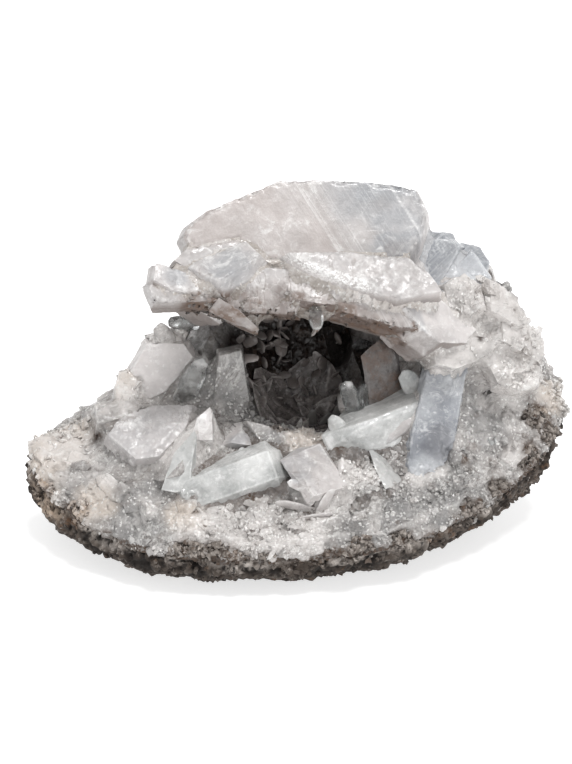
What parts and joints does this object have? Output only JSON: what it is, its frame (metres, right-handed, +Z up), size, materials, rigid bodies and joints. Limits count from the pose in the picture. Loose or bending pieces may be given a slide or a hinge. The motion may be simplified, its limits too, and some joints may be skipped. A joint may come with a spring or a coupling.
{
  "type": "celestite crystal cluster",
  "caption": "Celestite geode half: a rock bowl lined with sugary and bladed pale blue crystals round a dark hollow, roofed over by large milky blades.",
  "frame": {"origin": "on the flat underside that the cluster rests on, under the hollow's front", "axes": "+Z up, X from the left end to the right end, -Y out of the open front that the hollow looks out of"},
  "size_m": [0.1259, 0.0782, 0.0829],
  "materials": {
    "matrix_rock": "rough, crumbly grey-brown rock",
    "sugary_celestite": "sparkling white druse, opaque",
    "milky_celestite": "milky, glassy faces with fine striations",
    "blue_celestite": "translucent pale blue-grey, glassy, striated",
    "clear_celestite": "translucent pale aqua, glassy, bright edges",
    "smoky_celestite": "smoky, glassy"
  },
  "bodies": {
    "root": {"rock_bowl": "matrix_rock", "crystal_bed": "sugary_celestite", "roof_blades": "milky_celestite", "blue_fan": "blue_celestite", "front_prism": "clear_celestite", "blue_blade": "blue_celestite", "wedge_crystal": "clear_celestite", "ledge_plate": "milky_celestite", "left_plates": "clear_celestite", "hollow_crust": "smoky_celestite"}
  },
  "joints": []
}
